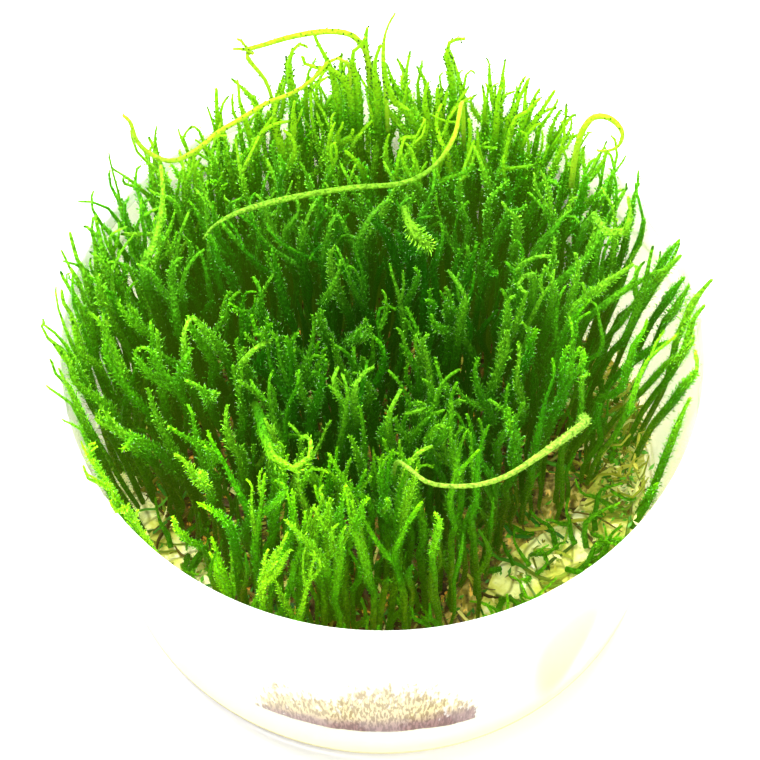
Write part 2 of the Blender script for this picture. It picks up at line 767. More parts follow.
def addShoot(
    growth, route, draw, fresh=0.2, girth=1.0, slim=0.0, neck=1.0,
    density=1.0, shift=0.0, stem=mainStem, clamp=True, form=moss,
):
    # one leafy shoot; its route runs from root to tip, slim pulls its leaves in, neck draws out its thin end
    run, even = smoothRoute(route)
    if clamp:
        run = keepInCup(run)
    chance = draw.uniform(0, 1)

    def radii(fromTip):
        return by(form["stemRadius"], fromTip / neck) * girth * (1 - 0.35 * slim)

    def tint(fromTip):
        return (fromTip / oldAge + shift, fresh, 0.05 + 0.13 * slim, chance)

    frames = addStem(growth, run, even, radii, stem, tint)
    places = leafStations(run, even, draw, neck, density * (1 - 0.45 * slim), form)
    count = len(places)
    lengths = by(form["leafLength"], places / neck) * girth * draw.uniform(0.75, 1.2, count)
    lengths *= 1 - 0.35 * slim
    spreads = by(form["leafSpread"], places / neck) * (1 - 0.3 * slim) + draw.normal(0, 8, count)
    spreads += (draw.uniform(0, 1, count) < moss["shedding"]) * draw.uniform(15, 40, count) * (1 - 0.5 * slim)
    spreads = np.clip(spreads, 4, 85)
    widths = by(form["leafWidth" if run[-1, 1] < 24 else "backLeafWidth"], places / neck)
    addLeaves(growth, run, even, frames, places, lengths, widths, spreads, radii(places), draw, fresh, shift)
    return run, even


def leanOut(x, y):
    # how far a tip ends outside its root
    angle, share = math.degrees(math.atan2(y, x)), math.hypot(x, y) / 41
    lean = 3.2 + sum(reach * bump(angle, middle, halfWidth) for reach, middle, halfWidth in leans)
    return lean * share * share + 1.5 * share


def tipHeight(x, y, draw):
    relief = moss["relief"] * noise.noise(Vector((x, y, 3.1)) / 9) * 1.6
    height = moss["crown"] + moss["slope"] * y + relief + draw.normal(0, 1.1)
    height -= max(-24 - y, 0) * 0.25 + max(-33 - y, 0) * 1.2  # shorter towards the front wall
    chance = draw.uniform(0, 1)
    if chance < moss["lowShare"]:
        height -= draw.uniform(3, 11)
    elif chance > 1 - moss["tallShare"]:
        height += draw.uniform(1.5, 4.5)
    return height


def sway(x, y, z):
    # a slow drift shared by neighbours, which draws them into groups
    (groupSize, groupLean), (tuftSize, tuftLean) = moss["drifts"]
    group = noise.noise_vector(Vector((x, y, z * 0.45)) / groupSize)
    tuft = noise.noise_vector(Vector((x + 40, y, z)) / tuftSize)
    grow = max(z - 18, 0) / 40  # from just above the mat upwards
    return [groupLean * grow * group[i] + tuftLean * grow * tuft[i] for i in (0, 1)]


def aside(direction, azimuth):
    # the direction square to this one that points most towards the azimuth
    towards = np.array([math.cos(azimuth), math.sin(azimuth), 0.0])
    towards -= direction * towards.dot(direction)
    return towards / np.linalg.norm(towards)


def routeEnd(route):
    # where a route ends, and its direction there
    a, b = np.array(route[-2]), np.array(route[-1])
    return b, (b - a) / np.linalg.norm(b - a)


def curlTip(route, draw, turnBy, steps=5, reach=1.1):
    # carries the route on in a curve of so many degrees
    place, direction = routeEnd(route)
    # not towards the front, where a curl would read as a knob
    towards = aside(direction, draw.uniform(-0.35, math.pi + 0.35))
    for i in range(steps):
        angle = math.radians(turnBy) * (i + 1) / steps
        place = place + (direction * math.cos(angle) + towards * math.sin(angle)) * reach
        route.append(tuple(place))
    return route


def wander(route, draw, length, bend, step=1.4):
    # carries the route on along a path that turns by about so many degrees at every step
    place, direction = routeEnd(route)
    turn = np.zeros(3)
    for _ in range(max(round(length / step), 1)):
        turn = 0.55 * turn + draw.normal(0, math.radians(bend), 3)
        direction = direction + turn + (0, 0, 0.12)
        direction /= np.linalg.norm(direction)
        place = place + direction * step
        route.append(tuple(place))
    return route


def sideOf(y):
    return "front" if y < -18 else "rear"


def plantedRoute(x, y, draw, neck):
    top = tipHeight(x, y, draw)
    out, radius = leanOut(x, y), max(math.hypot(x, y), 1e-6)
    ox, oy = x / radius * out + draw.normal(0, 1.4), y / radius * out + draw.normal(0, 1.3)
    side = sideOf(y)
    hooked = draw.uniform(0, 1) < moss["hooked"][side]
    turnBy = draw.uniform(70, 150) if hooked else draw.uniform(0, 22 if side == "front" else 55)
    steps, reach = 5, 0.7 if hooked else 0.8
    loose = 2.0 + 4.0 * neck
    # the curl and the loose end below it rise by most of their length
    rise = top - steps * reach * 0.85 - loose * 0.92 - moss["rootHeight"]
    route = []
    for share in np.linspace(0, 1, 8):
        z = moss["rootHeight"] + rise * share
        sx, sy = sway(x, y, z)
        wx, wy = draw.normal(0, 0.45 * share, 2)
        route.append((x + ox * share**1.4 + sx + wx, y + oy * share**1.4 + sy + wy, z))
    bend = 3 if y < -15 else 7 if y > 12 or radius > 33 else 5  # straighter at the front
    wander(route, draw, loose, bend)
    return curlTip(route, draw, turnBy, steps, reach)


def sideRoute(run, even, draw, below, angle):
    # a side shoot leaves its parent so far below its tip and bends up beside it
    start = int(len(run) * max(1 - below / even[-1], 0.3))
    place, direction = routeEnd([run[start - 2], run[start]])
    towards = aside(direction, draw.uniform(-0.5, math.pi + 0.5))
    length = below * draw.uniform(0.65, 1.05)
    route = [tuple(place)]
    for i in range(6):
        bend = math.radians(angle * (1 - i / 6) ** 1.2)
        place = place + (direction * math.cos(bend) + towards * math.sin(bend)) * length / 7
        route.append(tuple(place))
    return curlTip(route, draw, draw.uniform(-40, 70), 3, length / 16)


# single shoots that stand out: how fresh and how slim each is, then its points from the tip down, in mm
singled = {
    "archA": (0.7, 0.5, (-10, 19.3, 62), (-10.8, 17, 62.5), (-11.7, 16.4, 59), (-12.1, 16.8, 50)),
    "archB": (0.6, 0.5, (-6.6, 17.9, 61), (-7.6, 15.7, 62), (-8.2, 14.8, 59), (-8.7, 15.3, 50)),
    "archC": (0.65, 0.4, (1.2, 20.4, 61), (-0.8, 17.5, 63), (-2.9, 15, 61), (-3.7, 14.9, 52)),
    "hookD": (0.8, 0.7, (-16.1, -1.5, 57), (-17.6, -4.1, 59.5), (-19.7, -5.3, 58), (-21.1, -3.8, 48)),
    "hookE": (0.75, 0.6, (-27.7, 0, 60), (-28.3, -1.8, 61), (-28.7, -2.6, 58), (-28.7, -1.7, 46)),
    "hookF": (
        0.6, 0.7, (-6.4, -6.9, 58), (-7.1, -9.7, 59), (-6.7, -10.8, 57), (-5.5, -10.1, 53), (-4.6, -9.7, 42),
    ),
    "hookG": (0.6, 0.6, (-1.3, -6.9, 58), (-3, -9.4, 60), (-4.1, -11.1, 58), (-3.9, -10.7, 48)),
    "hookH": (0.6, 0.7, (2.6, -10.1, 57), (1.9, -12.7, 59), (1, -13.8, 57), (0.8, -13.6, 51), (2, -13.5, 42)),
    "loopI": (0.7, 0.5, (21.1, 5.7, 58), (20, 7.6, 57), (20.2, 7.7, 59), (21.6, 8.9, 58.5), (22.4, 9.6, 52)),
    "archJ": (0.7, 0.4, (24.4, 9.5, 62), (22.8, 8.7, 63.5), (21, 8.6, 62), (19.7, 9.2, 57)),
    "hookK": (0.5, 0.3, (19.1, 2.7, 62), (18.2, 2.5, 61.5), (18.1, 2.5, 58), (18.3, 3.2, 48)),
    "hookL": (0.7, 0.5, (23.6, 7.9, 62), (24.1, 8, 60), (24.9, 8.6, 57), (25.4, 9.4, 48)),
    "longM": (0.8, 0.1, (36.5, 8.3, 62), (34.8, 7.5, 61), (32.6, 7, 59), (31.6, 7.1, 57), (29.1, 9.2, 47)),
    "longN": (
        0.85, 0.1, (35.8, 17.5, 66), (36.2, 15.4, 64), (35.5, 14.5, 61), (32.8, 15.3, 60), (30.1, 17.8, 58),
    ),
    "forkO": (0.7, 0.4, (27.9, 9.5, 63), (28.5, 9.3, 61), (28.7, 9.6, 58), (28.2, 10.2, 48)),
    "loopP": (0.5, 0.4, (9.5, 8.6, 60), (11.6, 6.1, 58.5), (12.2, 5.1, 56), (11.4, 4.6, 50)),
    "longQ": (0.7, 0.3, (17.6, 18.6, 63), (18.7, 18.2, 61), (19.9, 19.1, 58), (20.2, 20, 48)),
    "longR": (
        0.9, 0.5, (-32.7, 23.2, 66), (-32.4, 20.1, 64), (-32.8, 17.2, 61), (-34.1, 14.2, 57),
        (-35.4, 11.3, 53),
    ),
    "curlS": (
        0.7, 0.75, (-11.8, -17.2, 55), (-10.7, -17.7, 57), (-10, -19.8, 58), (-10.3, -21.3, 57),
        (-12, -23.2, 57.5), (-14, -23.5, 58), (-15.6, -21.4, 58), (-17.1, -16.7, 57), (-18.1, -10.8, 54),
        (-18.6, -8.5, 46),
    ),
    "fuzzT": (
        1.0, 0.0, (7.2, 11.6, 61), (5.2, 12.7, 62.5), (3.8, 14.3, 63.5), (3.2, 17.4, 63), (3, 19.5, 56),
    ),
    "brightU": (1.0, 0.3, (7, -18.8, 56), (5.2, -20, 56.5), (3.6, -20.9, 54), (2.8, -20.9, 47)),
    "frontV": (0.35, 0.0, (-7.4, -26.1, 54), (-7.9, -26.9, 46), (-8.5, -28.3, 26)),
    "frontW": (0.5, 0.2, (-13.5, -30.1, 55), (-11, -30.1, 49), (-9.3, -29.9, 44), (-7.8, -28.9, 34)),
    "frontX": (0.45, 0.1, (4.7, -23.2, 57), (3.6, -23.7, 49), (2.5, -24.4, 38), (1.4, -26.3, 22)),
    "leftY": (0.6, 0.2, (-32.7, -0.6, 58), (-32.9, -1.6, 50), (-32.7, -2.8, 36)),
    "leftZ": (0.6, 0.2, (-34, -8, 54), (-33.1, -8.6, 46), (-29.9, -10.4, 30)),
    "leftAA": (0.7, 0.3, (-46.7, 5.1, 60), (-46.9, 3.3, 52), (-46.3, 0.8, 36), (-44.2, -1.2, 24)),
    "leftAB": (0.6, 0.3, (-45.9, 13.9, 62), (-45.1, 12, 57), (-43.2, 9.7, 42)),
    "leftAC": (0.5, 0.3, (-42.4, 17, 62), (-41.4, 14.1, 54), (-38.9, 11, 40)),
    "rightAD": (
        0.2, 0.0, (43.5, 12.7, 61.8), (42, 13.4, 56), (40.6, 14.1, 48), (39.1, 15.3, 40), (37.2, 18, 32),
    ),
    "rightAE": (0.6, 0.1, (43.8, 11.2, 60), (41.3, 11.9, 53), (40.2, 12.7, 46), (39.2, 14.1, 38)),
    "rightAF": (0.1, 0.0, (44.3, 8.6, 58), (43.4, 9.7, 53), (42.5, 11.8, 45), (41.2, 13, 37)),
    "rightAG": (0.3, 0.0, (45.1, 7.9, 57), (43.9, 9.2, 48), (43, 11.1, 40)),
    "rightAH": (0.9, 0.15, (47.7, 6.1, 61), (47.8, 6.5, 59.5), (46.4, 5.6, 52), (45, 6, 44), (44.2, 4.3, 38)),
    "rightAI": (0.6, 0.1, (47.3, 3.8, 58), (46.9, 3.2, 53), (45.7, 2.3, 48), (44.4, 3.5, 40), (41, 4, 28)),
    "rightAV": (
        0.3, 0.3, (45.8, -1.5, 54), (46.1, -5.7, 55), (45.1, -2.8, 46), (43.7, -0.5, 36), (41.9, 1, 27),
    ),
    "rightAW": (0.5, 0.3, (45, -8.5, 52), (44.8, -8, 46), (43.2, -8.2, 36), (42, -8.8, 26)),
    "rightAX": (0.1, 0.0, (43.3, 6.4, 44), (42, 7.9, 40), (39, 9.5, 33), (35.9, 10, 25), (33.5, 9.7, 18)),
    "rightAY": (0.1, 0.1, (43, -10.7, 30), (41.7, -9, 22), (39.5, -10, 15)),
    "whipAI": (
        0.95, 0.8, (12.2, 40.4, 74), (10.3, 41.8, 72), (9.5, 41.2, 70), (10.5, 41.6, 64), (10.8, 40.5, 52),
    ),
    "curlAJ": (
        0.75, 0.7, (-11.2, 39.9, 72.6), (-11.8, 39.7, 73.6), (-12.8, 39.5, 73.7), (-13.7, 39.4, 71.4),
        (-14.1, 39.3, 67.4), (-13.5, 39, 61.8), (-13, 38.6, 55),
    ),
    "curlAK": (
        0.9, 0.8, (-11.9, 38.6, 72.2), (-11.6, 38.6, 70.4), (-10.4, 38.6, 69.6), (-8.6, 38.6, 69.6),
        (-7, 38.7, 68.5), (-5.7, 38.8, 66.2), (-4.8, 38.8, 62.5), (-4.6, 38.4, 55),
    ),
    "strandAQ": (
        0.7, 0.8, (-10.1, 40.4, 74.9), (-9.4, 40.3, 72.3), (-8.4, 40.2, 69.7), (-7.6, 39.9, 66.7),
        (-7, 39.4, 62.3), (-6.6, 38.8, 55),
    ),
    "strandAR": (
        0.95, 0.9, (-2.6, 39.2, 75.8), (-3.2, 39.2, 74), (-4.2, 39.2, 73), (-4.6, 39.2, 70.7),
        (-4.1, 39.1, 67), (-3.6, 38.8, 58),
    ),
    "strandAS": (
        0.9, 0.6, (-2.3, 40.6, 76.3), (-2.5, 40.6, 73.3), (-2.2, 40.3, 69), (-1.8, 39.9, 64.7),
        (-1.2, 39.2, 56),
    ),
    "strandAT": (
        0.9, 0.7, (-0.3, 38.3, 75.2), (-1, 38.3, 72.3), (-1.2, 38.3, 69), (-0.9, 38.3, 64.5), (-0.6, 38, 54),
    ),
    "strandAU": (
        1.0, 0.4, (0.2, 37.6, 72.3), (0.4, 37.6, 69.5), (0.9, 37.4, 66.5), (2.1, 37, 62.3), (5.4, 36.5, 55),
    ),
    "backAL": (0.2, 0.4, (-25.2, 39.1, 64), (-25.3, 38, 60), (-25.3, 38, 52), (-24.6, 36, 38)),
    "backAM": (0.4, 0.4, (17.7, 37.5, 66), (17.4, 37.3, 61), (17.3, 36.7, 53)),
    "backAN": (0.5, 0.5, (21.8, 38.3, 67), (20.2, 37.6, 61), (18.9, 36.9, 54)),
    "backAO": (0.5, 0.5, (26, 37.9, 65), (24.7, 37.4, 62), (22.6, 36.5, 57), (20.7, 36, 50)),
    "backAP": (0.4, 0.5, (23.8, 37.2, 64), (21.9, 36.5, 61.5), (19.3, 35.4, 56)),
}

# the long stray stems: how fresh, how slim and how thick each is, then its points from the clump outwards
strays = {
    "long_stray": (
        0.95, 0.95, 1.0, (12.6, 36.5, 52), (12.3, 36.8, 60), (11.9, 35.6, 65), (11.4, 32, 66.8),
        (10.5, 27, 67.5), (7.6, 21.8, 67.6), (3, 19, 67.2), (-4.8, 18.4, 66.8), (-13.5, 17.2, 66),
        (-20.5, 15.6, 65), (-24.5, 14.4, 63.2), (-26.4, 13.4, 61),
    ),
    "front_stray": (
        1.0, 0.8, 1.15, (1.5, -19, 48), (2, -20.8, 55), (3.4, -23.6, 58.5), (6.5, -27, 60), (12, -28.5, 62),
        (16.8, -27.6, 63), (21.7, -24.3, 63.2), (26, -20.6, 62.6), (28.5, -17.5, 60.8), (28, -15.2, 58),
    ),
    "bridging_stray": (
        1.0, 0.3, 1.0, (-16.2, 36.8, 54), (-16.6, 37.4, 62), (-17.6, 38.2, 67), (-19.5, 38.9, 70),
        (-20.4, 39.8, 72), (-17.9, 40, 73), (-13.7, 40.1, 74.8), (-9.2, 40.1, 76), (-5.6, 40.1, 75.8),
        (-3.7, 40.2, 74), (-2.3, 40.2, 70), (-1.8, 39.6, 63),
    ),
    "hooked_stray": (
        0.9, 0.3, 0.9, (-5, 38.6, 60), (-4.9, 38.8, 68), (-5.6, 38.8, 71), (-7.8, 38.6, 71.4),
        (-9.6, 37.8, 68.9), (-13, 35.6, 67.6), (-17.4, 33.8, 67), (-21, 31.6, 66.2), (-24.5, 29.6, 65.4),
        (-27.6, 27, 64.6), (-31, 25.4, 64), (-34, 25.6, 65), (-36.2, 26.4, 67.4), (-37, 27.8, 70),
        (-38.1, 28.4, 71.2),
    ),
    "tangled_stray": (
        0.95, 0.5, 0.9, (28.8, 28, 54), (28.9, 28.4, 61), (29.6, 29.2, 66), (31.2, 30.1, 68.4),
        (33.6, 29.6, 68.8), (35.4, 28, 67.6), (34.9, 26.8, 65.8), (33.2, 26.6, 64.8), (31.9, 27.2, 64.2),
    ),
    "back_stray": (
        0.9, 0.9, 0.85, (0.8, 38.6, 54), (0.5, 39.4, 62), (0.1, 40.6, 68), (0.2, 41.8, 72), (0.9, 42.7, 74.6),
        (1.9, 43.4, 76.4),
    ),
}

# where a stem's form differs from a planted shoot's
dotted = {
    "leafDensity": {0: 12.0, 90: 9.0},
    "leafLength": {0: 0.50, 90: 0.55},
    "backLeafWidth": {0: 1.8, 90: 1.8},
}
thickStray = {**dotted, "stemRadius": {0: 0.24, 0.8: 0.36, 8: 0.52, 26: 0.54, 60: 0.30, 90: 0.24}}
ownForms = {
    "fuzzT": {
        "stemRadius": {0: 0.45, 2: 0.80, 7: 0.95, 11: 0.62, 24: 0.55, 60: 0.5},
        "leafDensity": {0: 26.0, 8: 24.0, 11: 6.0, 24: 4.0, 34: 10.0},
        "leafLength": {0: 0.9, 8: 1.15, 12: 0.6, 45: 0.6},
        "leafSpread": {0: 40.0, 2: 66.0, 9: 72.0, 12: 40.0},
    },
    "front_stray": {
        "stemRadius": {0: 0.42, 1.0: 0.66, 6: 0.78, 14: 0.70, 24: 0.52, 34: 0.42, 60: 0.38},
        "leafDensity": {0: 40.0, 14: 44.0, 20: 14.0, 26: 3.0, 60: 3.0},
        "leafLength": {0: 0.60, 14: 0.80, 22: 0.55, 60: 0.45},
    },
    "bridging_stray": thickStray,
    "hooked_stray": {**dotted, "stemRadius": {0: 0.24, 0.8: 0.36, 8: 0.46, 30: 0.50, 60: 0.34, 90: 0.3}},
    "tangled_stray": dotted,
    "back_stray": dotted,
}
# the knot of two short tufts at the bridging stem's corner
tufts = {
    "bridging_stray": (
        ((-19.2, 39.5, 71.6), (-20.3, 39.8, 72.2), (-21.3, 40.0, 72.2), (-22.3, 40.1, 72.0)),
        ((-19.8, 39.6, 71.4), (-20.3, 39.9, 72.6), (-20.9, 40.2, 73.7), (-21.6, 40.3, 74.1)),
    ),
}


def formOf(name):
    return {**moss, **ownForms.get(name, {})}


def mossGreen(name, palette, inner=0.24):
    paint = Finish(name, Roughness=0.45, Specular_IOR_Level=0.04)
    age, fresh, tip, chance = paint.growth()
    place = paint.objectPlace()
    x, y, height = paint.millimetres()  # the places below are in these
    leaf, own = paint.band(tip, 0.2, 0.4), paint.maths("FRACT", chance * 7.3)
    fromAxis = x * x + y * y
    outer, outside = paint.band(fromAxis, 200.0, 900.0), paint.band(fromAxis, 1150.0, 1450.0)

    # from the tip down the stem, with patches, grain and leaves of their own tone
    overFresh = paint.band(fresh, 1.05, 1.15)
    young = (1.0 - paint.band(age, 0.1, 0.55)) * fresh * (1.0 - overFresh * 0.7)
    patch = paint.band(paint.noise(place, 85, 1), 0.45, 0.62) * 0.45 * (1.0 - fresh)
    grain = paint.ramp(paint.noise(place, 2300, 2, 0.6), [(0.34, 0.35), (0.5, 0.95), (0.66, 1.6)])
    shaded = paint.ramp(tip, [(0.05, 0.55), (0.16, 0.95), (0.46, 1.0), (0.95, 1.65)])
    colour = paint.ramp(age, [(distance / oldAge, tone) for distance, tone in palette["along"]])
    for share, tone in ((young, "fresh"), (chance * 0.35, "other"), (patch, "shade")):
        colour = paint.mix(share, colour, palette[tone])
    for share, tone in ((1.0, grain), (1.0, shaded), (leaf, paint.ramp(own, [(0.0, 0.6), (1.0, 1.55)]))):
        colour = paint.mix(share, colour, tone, "MULTIPLY")

    # by place: the outer shoots are lighter and those at the front yellower, less so where they are fresh
    calm = 1.0 - young * palette["calm"]
    front, rear = paint.band(y, -10.0, -26.0), paint.band(y, 2.0, 12.0) * (1.0 - paint.band(y, 26.0, 34.0))
    tints = (outer * calm, "outerTint"), (front * calm, "frontTint"), (outside * calm, "wallTint")
    for share, tint in (*tints, (rear * (1.0 - young), "rearTint")):
        colour = paint.mix(share, colour, palette[tint], "MULTIPLY")

    # deep inside the clump they are brown; the outermost, the front and the right stay green further down
    kept = paint.maths("MAXIMUM", paint.band(y, -16.0, -28.0), paint.band(x, 16.0, 28.0))
    kept = paint.maths("MAXIMUM", outside, kept) * 16.0 + overFresh * 30.0
    deep = 1.0 - paint.band(height + kept, 22.0, 44.0)
    colour = paint.mix(deep * 0.9, colour, palette["deep"])

    # tips catch the light, about half of them fully; against the light at the back they are dark dots
    behind = paint.band(y, palette["litFrom"], palette["litFrom"] + 9.0) * paint.band(height, 52.0, 60.0)
    behind = behind * (1.0 - paint.band(age, palette["litReach"], palette["litReach"] + 0.3))
    pale = paint.band(tip, 0.62, 0.98) * (1.0 - deep)
    pale = pale * (1.0 - paint.band(age, 0.35, 0.65) * 0.6) * (1.0 - behind)
    for share, tone in (
        (pale * (0.3 + paint.band(chance, 0.5, 0.6) * 0.5), "tips"),
        (pale * paint.band(chance, 0.84, 0.86), "glints"),
        (behind * (1.0 - leaf) * 0.7, "backStem"),
        (behind * leaf * paint.band(own, 0.02, 0.08), "backLeaf"),
        (1.0 - paint.band(age, -0.028, -0.004), "growing"),
    ):
        colour = paint.mix(share, colour, palette[tone])
    paint.paintWith(colour)
    scales = paint.node("TexVoronoi", {"Vector": paint.squeezed(place, 0.6), "Scale": 2300.0}, "Distance")
    paint.bump(scales, 0.9, 0.00035)

    # light that has filtered in through the cup's wall and, at the back, through the shoots
    filtered = paint.mix(outer, palette["inside"], palette["nearWall"])
    filtered = paint.mix(behind * (1.0 - leaf), filtered, palette["lit"])
    paint.shineWith(filtered, 1.0)
    paint.glow(palette["through"], inner * (1.0 - behind * leaf * 0.85))
    return paint.material


greens = {
    "along": (  # by distance from the tip
        (0, (0.12, 0.48, 0.002)),
        (3, (0.038, 0.285, 0.001)),
        (8, (0.013, 0.16, 0.001)),
        (18, (0.009, 0.085, 0.001)),
        (30, (0.030, 0.040, 0.002)),
    ),
    "fresh": (0.26, 0.66, 0.02),
    "other": (0.03, 0.24, 0.001),
    "shade": (0.003, 0.085, 0.001),
    "deep": (0.042, 0.026, 0.003),
    "tips": (0.30, 0.90, 0.18),
    "glints": (0.86, 1.0, 0.78),
    "growing": (0.012, 0.07, 0.002),
    "backStem": (0.25, 0.58, 0.008),
    "backLeaf": (0.010, 0.07, 0.002),
    "through": (0.11, 0.66, 0.002),
    "inside": (0.008, 0.028, 0.0005),
    "nearWall": (0.026, 0.058, 0.0008),
    "lit": (0.18, 0.34, 0.004),
    "litFrom": 24.0,
    "litReach": 0.18,
    "calm": 0.75,
    "outerTint": (2.05, 1.95, 2.2),
    "wallTint": (1.8, 1.5, 1.3),
    "rearTint": (0.62, 0.78, 1.2),
    "frontTint": (2.15, 1.64, 0.95),
}
strayGreens = {
    "along": ((0, (0.15, 0.38, 0.016)), (4, (0.24, 0.50, 0.024)), (38, (0.16, 0.40, 0.016))),
    "fresh": (0.22, 0.50, 0.03),
    "other": (0.16, 0.40, 0.018),
    "shade": (0.14, 0.36, 0.018),
    "deep": (0.10, 0.20, 0.01),
    "tips": (0.55, 0.80, 0.15),
    "glints": (0.90, 1.0, 0.60),
    "growing": (0.02, 0.10, 0.005),
    "backStem": (0.46, 0.74, 0.02),
    "backLeaf": (0.012, 0.07, 0.003),
    "through": (0.30, 0.62, 0.05),
    "inside": (0.02, 0.04, 0.001),
    "nearWall": (0.02, 0.04, 0.001),
    "lit": (0.20, 0.30, 0.01),
    "litFrom": 20.0,
    "litReach": 2.5,
    "calm": 0.0,
    **dict.fromkeys(("outerTint", "wallTint", "rearTint"), (1.0, 1.0, 1.0)),
    "frontTint": (1.75, 1.25, 2.6),
}


def polar(radius, angle):
    return radius * math.cos(angle), radius * math.sin(angle)


def inDisc(draw, reach, low=0):
    # a place in a disc, each equally likely: radius, angle, x and y
    radius, angle = reach * math.sqrt(draw.uniform(low, 1)), draw.uniform(0, 2 * math.pi)
    return radius, angle, *polar(radius, angle)


def farEnough(x, y, kept, square):
    return all((x - a) ** 2 + (y - b) ** 2 > square for a, b in kept)


def rootPlaces(draw):
    # darts thrown at the cup's floor, each kept if it is far enough from the others
    kept = []
    for _ in range(moss["darts"]):
        radius, _, x, y = inDisc(draw, moss["rootReach"])
        sparse = (x > 24 and -25 < y < 32) or (x < -22 and y < 2)
        apart = by(moss["spacing"], y) * (1.3 if sparse else 1.0)
        if radius <= moss["rootReach"] - drawBack(x, y) and farEnough(x, y, kept, apart * apart):
            kept.append((x, y))
    return kept


sectors = {"front": (-130, -50), "right": (-50, 35), "rear_right": (35, 90), "rear_left": (90, 145)}


def sectorOf(x, y):
    if math.hypot(x, y) < 19:
        return "shoots_centre"
    angle = math.degrees(math.atan2(y, x))
    for name, (low, high) in sectors.items():
        if low <= angle < high:
            return "shoots_" + name
    return "shoots_left"


def wallRoutes(draw):
    # shoots that stand against the cup's wall at both sides and reach over the rim
    for start, end, step, low, high in moss["wallShoots"]:
        for angle in np.arange(start, end, step):
            middle = math.radians(angle + draw.uniform(-1.4, 1.4))
            along = draw.normal(0, 0.05)
            top, foot = draw.uniform(low, high), draw.uniform(12.5, 15)
            inner, outer = draw.uniform(38.5, 41.5), draw.uniform(45.5, 48.5)
            route = []
            for share in np.linspace(0, 1, 7):
                z = foot + (top - foot) * share
                here = middle + along * share + 0.03 * noise.noise(Vector((angle, z / 7, 0)))
                route.append((*polar(inner + (outer - inner) * share**1.1, here), z))
            wander(route, draw, draw.uniform(2, 6), 8)
            yield curlTip(route, draw, draw.uniform(0, 60), 3, 0.8)


def lowerRoutes(draw):
    # older, shorter and browner shoots that close the depth between the tall ones
    kept, reach, foot = [], 42, 14
    for _ in range(moss["lowerDarts"]):
        radius, _, x, y = inDisc(draw, reach)
        square = 4.4 if y < 4 else 3.2  # of the least distance
        if radius > reach - drawBack(x, y) or not farEnough(x, y, kept, square):
            continue
        kept.append((x, y))
        top = draw.uniform(*moss["lowerTops"]["middle" if y > -30 else "front"])
        if y > 10:
            top = draw.uniform(*moss["lowerTops"]["rear"])
        route = []
        for share in np.linspace(0, 1, 5):
            z = foot + (top - foot) * share
            sx, sy = sway(x, y, z)
            route.append((x + 1.3 * sx + draw.normal(0, 0.5), y + 1.3 * sy + draw.normal(0, 0.5), z))
        yield route


def fillRoutes(draw):
    # shorter shoots that stand close to the back wall
    start, end, step, low, high = moss["backShoots"]
    for angle in np.radians(np.arange(start, end, step)):
        inner, outer = draw.uniform(33, 40.5), draw.uniform(40, 46)
        foot, top = 14, draw.uniform(low, high)
        route = []
        for share in np.linspace(0, 1, 6):
            x, y = polar(inner + (outer - inner) * share, angle)
            wx, wy = draw.normal(0, 0.7 * share, 2)
            route.append((x + wx, y + wy, foot + (top - foot) * share))
        wander(route, draw, draw.uniform(3, 9), 8)
        yield curlTip(route, draw, draw.uniform(0, 60), 3, 0.8)


def sprigRoutes(draw):
    # low sprigs on the open gel and along the front
    foot, left = 12.0, moss["sprigs"]
    while left:
        radius, angle = draw.uniform(24, 40.5), draw.uniform(-math.pi, math.pi)
        x, y = polar(radius, angle)
        if radius < moss["rootReach"] - drawBack(x, y) - 1.0:
            continue
        left -= 1
        length, around, lift = draw.uniform(3.5, 11), draw.uniform(0, 2 * math.pi), draw.uniform(0.2, 1.2)
        route = [(x, y, foot)]
        for share in (0.25, 0.5, 0.75, 1.0):
            around += draw.normal(0, 0.25)
            dx, dy = polar(length * share * math.cos(lift), around)
            route.append((x + dx, y + dy, foot + 0.3 + length * math.sin(lift) * share**1.3))
        yield route


def growRooted(growthAt, x, y, draw):
    # one planted shoot with its side shoots, which fan out more at the front
    neck = draw.uniform(0.5, 1.4)
    route = plantedRoute(x, y, draw, neck)
    radius, front = math.hypot(x, y), sideOf(y) == "front"
    outer = min(max((radius - 28) / 12, 0), 1) * (0.4 if y > -10 else 0.1)  # the outer ones are fresher
    fresh = float(np.clip(draw.beta(1.1, 3.2) + outer + 0.2 * (y > 22) * draw.uniform(0, 1), 0, 1))
    girth = draw.uniform(0.85, 1.15) * (1.0 if abs(y + 2) < 14 else 0.86)
    girth *= 0.85 if x > 24 and y > -20 else 1.0
    slim = draw.beta(1.2, 4.0)
    shift = -0.03 if radius > 31 and y > -8 and draw.uniform(0, 1) < 0.6 else 0.0
    run, even = addShoot(growthAt(x, y), route, draw, fresh, girth, slim, neck, shift=shift)
    for _ in range(draw.choice((0, 1, 2, 3), p=moss["sideShoots"][sideOf(y)])):
        below = draw.uniform(5, 24 if front else 15)
        side = sideRoute(run, even, draw, below, draw.uniform(14, 28) if front else draw.uniform(20, 42))
        fresher, thinner = min(fresh + draw.uniform(0, 0.3), 1), girth * 0.85
        addShoot(growthAt(x, y), side, draw, fresher, thinner, slim, neck * 0.7, shift=shift, stem=sideStem)


